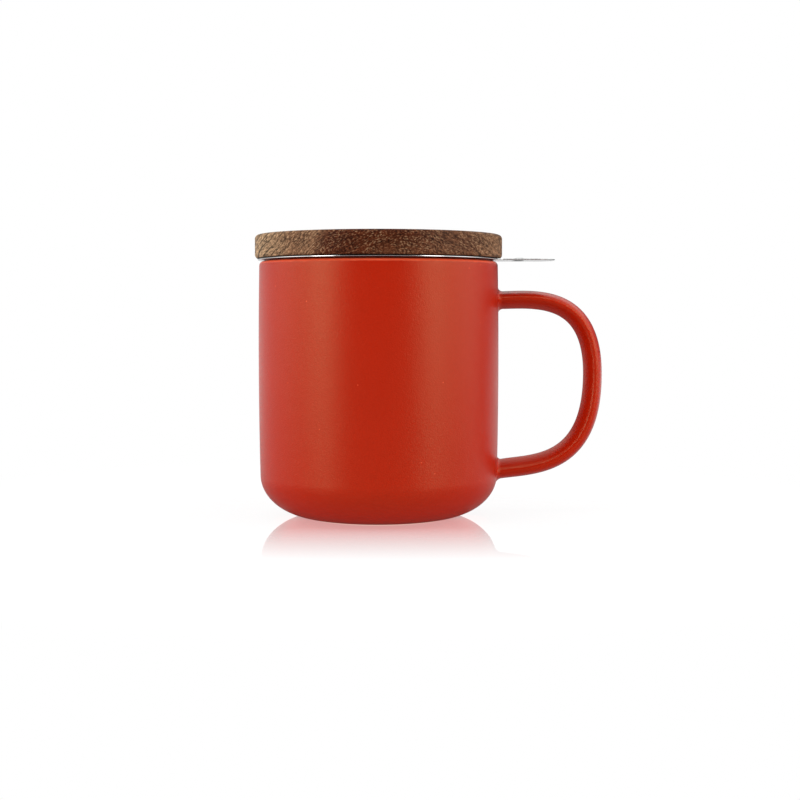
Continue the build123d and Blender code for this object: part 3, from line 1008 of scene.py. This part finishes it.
# The floor's mirror image: where it ends in millimetres, what it gains for each millimetre nearer, and its most.
MIRROR_END, MIRROR_GAIN, MIRROR_MOST = 103.0, 0.0086, 0.60
BLUSH, BLUSH_LEVEL = (1.0, 0.05, 0.02), 2.5
# Distances in millimetres over which the floor changes.
CONTACT = (30.0, 75.0)  # a little more light under and beside the object, for dull rays only, fades out here
SHADED = (300.0, 1200.0)  # for glossy rays it turns from dim to full here
BEYOND_TAB = (1500.0, 2500.0)  # for glossy rays it turns white here, straight behind the finger tab
PLAIN_WHITE = (110.0, 210.0)  # for the camera it turns white here, past the object's shadow


def pale_floor():
    """White floor with a sharp mirror image of the mug, which fades with distance and sooner to the front than
    to the sides, and the red light that the mug throws in front of it. Seen by the camera it turns to plain
    white away from the object's shadow. Glossy rays find it dim near the object, and white far behind, where
    the underside of the finger tab looks."""
    finish = Finish.named("pale_floor")
    x, y, _ = finish.split(finish.place())
    out = finish.distance(x, y)
    away = finish.math("SQRT", 0.2 * x * x + y * y)
    seen = finish.add("ShaderNodeLightPath", "Is Camera Ray")
    shine = finish.add("ShaderNodeLightPath", "Is Glossy Ray")
    dull_ray = (1 - seen) * (1 - shine)
    nearness = finish.math("MAXIMUM", (MIRROR_END - away) * MIRROR_GAIN, 0.0)
    mirrored = finish.math("MINIMUM", nearness, MIRROR_MOST) * seen
    in_front = (1 - finish.math("ABSOLUTE", x - 1.0).rise(30.0, 40.0)) * (1 - y.rise(-15.0, 5.0))
    contact, shaded = 1 - out.rise(*CONTACT), 1 - out.rise(*SHADED)
    glow = 0.56 + 0.20 * seen + 0.15 * contact * dull_ray - 0.50 * shine * shaded
    grey = finish.tint(WHITE, 0.24 - 0.16 * shine)
    dull = finish.add("ShaderNodeBsdfDiffuse", "BSDF", {"Color": grey})
    matt = finish.add("ShaderNodeAddShader", 0, {0: finish.light(WHITE, glow), 1: dull})
    blush = finish.light(BLUSH, BLUSH_LEVEL * in_front * mirrored**3.0)
    matt = finish.add("ShaderNodeAddShader", 0, {0: matt, 1: blush})
    gloss = finish.add("ShaderNodeBsdfGlossy", "BSDF", {"Color": WHITE, "Roughness": 0.0})
    polish = finish.add("ShaderNodeFresnel", "Fac", {"IOR": 1.5})
    mirrored = finish.math("MAXIMUM", mirrored, polish * (1 - seen))
    real = finish.add("ShaderNodeMixShader", 0, {0: mirrored, 1: matt, 2: gloss})
    beyond_tab = y.rise(*BEYOND_TAB) * (1 - finish.math("ABSOLUTE", x - 325.0).rise(150.0, 300.0))
    white_from = seen * out.rise(*PLAIN_WHITE) + shine * beyond_tab
    white = finish.light(WHITE, 1.0)
    return finish.close(finish.add("ShaderNodeMixShader", 0, {0: white_from, 1: real, 2: white}))


def studio_world(level):
    """Plain white for the camera and for the floor's sharp mirror image. Everything else sees a white room
    that is dark behind the camera and dim beyond the object and overhead. East, north and up are the parts
    of a direction of length one, and facing is 1 straight towards the camera's side."""
    finish = Finish(bpy.data.worlds.new("studio"))
    east, north, up = finish.split(finish.add("ShaderNodeTexCoord", "Generated"))
    facing = (0 - north) / (finish.distance(east, north) + 0.0001)
    dark = facing.rise(0.16, 0.78) * (1 - up.rise(0.50, 0.90))
    left_edge = (0 - east).rise(0.0, 0.2) * (1 - up.rise(0.10, 0.30))
    behind = (0 - facing).rise(0.0, 0.6) * (0.94 - 0.54 * up.rise(0.20, 0.55) - 0.24 * left_edge)
    overhead = up.rise(0.5, 1.0)
    room = level * (1 - 0.98 * dark) * (1 - behind) * (1 - 0.55 * overhead)
    seen = finish.add("ShaderNodeLightPath", "Is Camera Ray")
    mirrored = finish.add("ShaderNodeLightPath", "Is Singular Ray")
    plain = finish.math("MAXIMUM", seen, mirrored)
    strength = plain + (1 - plain) * room
    surface = finish.add("ShaderNodeBackground", 0, {"Color": WHITE, "Strength": strength})
    return finish.close(surface, "ShaderNodeOutputWorld")


def softbox(name, place, aim, size, power):
    """A rectangular lamp that faces a point."""
    lamp = bpy.data.lights.new(name, "AREA")
    lamp.shape = "RECTANGLE"
    lamp.size, lamp.size_y = size
    lamp.energy = power
    holder = add_object(name, lamp)
    holder.location = place
    facing = np.array(aim) - np.array(place)
    across = math.atan2(facing[0], -facing[1])
    tilt = math.acos(-facing[2] / np.linalg.norm(facing))
    holder.rotation_euler = (tilt, 0, across + math.pi)


# ---- Operators, one for each piece ----


class TEAMUG_OT_body(Operator):
    """Turn the glazed body"""

    bl_idname = "teamug.body"
    bl_label = "Mug Body"

    def execute(self, context):
        mug, colours = context.scene.tea_body, context.scene.tea_finishes
        profile = body_profile(mug)
        points, faces = turn(profile, mug.turns)
        way = way_from_rim(profile, mug, mug.turns)
        finish = satin_glaze("glazed_stoneware", colours, True)
        put_piece(
            "glazed_body", points, faces, "mug", "mug_body", finish, marks={"way_from_rim": way}
        )
        return {"FINISHED"}


class TEAMUG_OT_handle(Operator):
    """Pull the handle and lute it to the body"""

    bl_idname = "teamug.handle"
    bl_label = "Handle"

    def execute(self, context):
        mug, handle, colours = context.scene.tea_body, context.scene.tea_handle, context.scene.tea_finishes
        points, faces = handle_surface(mug, handle)
        finish = satin_glaze("glazed_handle", colours, False)
        put_piece("loop_handle", points, faces, "mug", "mug_handle", finish)
        return {"FINISHED"}


class TEAMUG_OT_basket_rim(Operator):
    """Press the basket's flange, tab and neck"""

    bl_idname = "teamug.basket_rim"
    bl_label = "Basket Rim"

    def execute(self, context):
        basket, colours = context.scene.tea_basket, context.scene.tea_finishes
        points, faces = basket_rim_surface(basket, BODY_BOX[1].z, RIM_BOX[1].x, RIM_BOX[0].z)
        finish = satin_steel("steel_rim", colours)
        put_piece("basket_rim", points, faces, "infuser", "infuser_rim", finish, sharp=50)
        return {"FINISHED"}


class TEAMUG_OT_basket_wall(Operator):
    """Roll the slotted wall"""

    bl_idname = "teamug.basket_wall"
    bl_label = "Basket Wall"

    def execute(self, context):
        basket, colours = context.scene.tea_basket, context.scene.tea_finishes
        points, faces = basket_wall_surface(basket, WALL_BOX[0].z, WALL_BOX[1].z)
        finish = satin_steel("steel_wall", colours, seam=True)
        put_piece("basket_wall", points, faces, "infuser", "infuser_wall", finish, sharp=40)
        return {"FINISHED"}


class TEAMUG_OT_basket_base(Operator):
    """Punch the slotted base"""

    bl_idname = "teamug.basket_base"
    bl_label = "Basket Base"

    def execute(self, context):
        basket, colours = context.scene.tea_basket, context.scene.tea_finishes
        lip_height = BASE_BOX[1].z - BASE_BOX[0].z - basket.sheet
        points, faces = basket_base_surface(basket, BASE_BOX[0].z, lip_height)
        finish = satin_steel("steel_base", colours)
        put_piece("basket_base", points, faces, "infuser", "infuser_base", finish, sharp=40)
        return {"FINISHED"}


class TEAMUG_OT_lid(Operator):
    """Turn the wooden lid with its plug"""

    bl_idname = "teamug.lid"
    bl_label = "Lid"

    def execute(self, context):
        lid, basket, colours = context.scene.tea_lid, context.scene.tea_basket, context.scene.tea_finishes
        plug, seat = plug_radius(lid, basket), LID_BOX[1].z - lid.thickness
        profile = lid_profile(lid, plug, LID_BOX[0].z, LID_BOX[1].z, seat, SEAL_BOX[0].z, SEAL_BOX[1].z)
        points, faces = turn(profile, lid.turns)
        finish = turned_wood("turned_wood", colours)
        put_piece("turned_lid", points, faces, "lid", "lid_disc", finish)
        return {"FINISHED"}


class TEAMUG_OT_seal(Operator):
    """Mould the sealing ring"""

    bl_idname = "teamug.seal"
    bl_label = "Sealing Ring"

    def execute(self, context):
        lid, basket, colours = context.scene.tea_lid, context.scene.tea_basket, context.scene.tea_finishes
        inner = plug_radius(lid, basket) - lid.groove_depth
        profile = seal_profile(inner, SEAL_BOX[1].x, SEAL_BOX[0].z, SEAL_BOX[1].z)
        points, faces = turn(profile, lid.turns, closed=True)
        finish = food_silicone("food_silicone", colours)
        put_piece("seal_ring", points, faces, "lid", "lid_seal", finish)
        return {"FINISHED"}


class TEAMUG_OT_stage(Operator):
    """Lay the floor, light the room and place the camera"""

    bl_idname = "teamug.stage"
    bl_label = "Stage"

    def execute(self, context):
        scene = context.scene
        mesh = bpy.data.meshes.new("floor")
        corners = [(-1, -1), (1, -1), (1, 1), (-1, 1)]
        places = [(x * FLOOR_REACH, y * FLOOR_REACH, -FLOOR_DROP) for x, y in corners]
        mesh.from_pydata(places, [], [(0, 1, 2, 3)])
        mesh.materials.append(pale_floor())
        floor = add_object("floor", mesh)
        scene.world = studio_world(ROOM_LEVEL)
        for lamp in LAMPS:
            softbox(*lamp)
        lens = bpy.data.cameras.new("camera")
        lens.lens = CAMERA_LENS
        lens.sensor_width = CAMERA_SENSOR
        lens.clip_start, lens.clip_end = CAMERA_SEES
        camera = add_object("camera", lens)
        camera.location = CAMERA_PLACE
        camera.rotation_euler = (math.radians(CAMERA_TILT), 0, 0)
        scene.camera = camera
        scene.view_settings.view_transform = "Standard"
        return {"FINISHED"}


class TEAMUG_PT_sidebar(Panel):
    """Every piece's button over its sizes"""

    bl_label = "Lidded Tea Mug"
    bl_idname = "TEAMUG_PT_sidebar"
    bl_space_type = "VIEW_3D"
    bl_region_type = "UI"
    bl_category = "Tea Mug"

    def draw(self, context):
        layout = self.layout
        for operator in OPERATORS:
            layout.operator(operator.bl_idname)
        for sizes in SIZES:
            box = layout.box()
            box.label(text=sizes.replace("tea_", "").title())
            group = getattr(context.scene, sizes)
            for name in group.__annotations__:
                box.prop(group, name)


OPERATORS = (
    TEAMUG_OT_body,
    TEAMUG_OT_handle,
    TEAMUG_OT_basket_rim,
    TEAMUG_OT_basket_wall,
    TEAMUG_OT_basket_base,
    TEAMUG_OT_lid,
    TEAMUG_OT_seal,
    TEAMUG_OT_stage,
)
SIZES = {
    "tea_body": BodySizes,
    "tea_handle": HandleSizes,
    "tea_basket": BasketSizes,
    "tea_lid": LidSizes,
    "tea_finishes": Finishes,
}


def register():
    for group in SIZES.values():
        bpy.utils.register_class(group)
    for name, group in SIZES.items():
        setattr(bpy.types.Scene, name, PointerProperty(type=group))
    for operator in OPERATORS:
        bpy.utils.register_class(operator)
    bpy.utils.register_class(TEAMUG_PT_sidebar)


def unregister():
    bpy.utils.unregister_class(TEAMUG_PT_sidebar)
    for operator in reversed(OPERATORS):
        bpy.utils.unregister_class(operator)
    for name, group in SIZES.items():
        delattr(bpy.types.Scene, name)
        bpy.utils.unregister_class(group)


def main():
    register()
    bpy.ops.teamug.body()
    bpy.ops.teamug.handle()
    bpy.ops.teamug.basket_rim()
    bpy.ops.teamug.basket_wall()
    bpy.ops.teamug.basket_base()
    bpy.ops.teamug.lid()
    bpy.ops.teamug.seal()
    bpy.ops.teamug.stage()


if __name__ == "__main__":
    main()
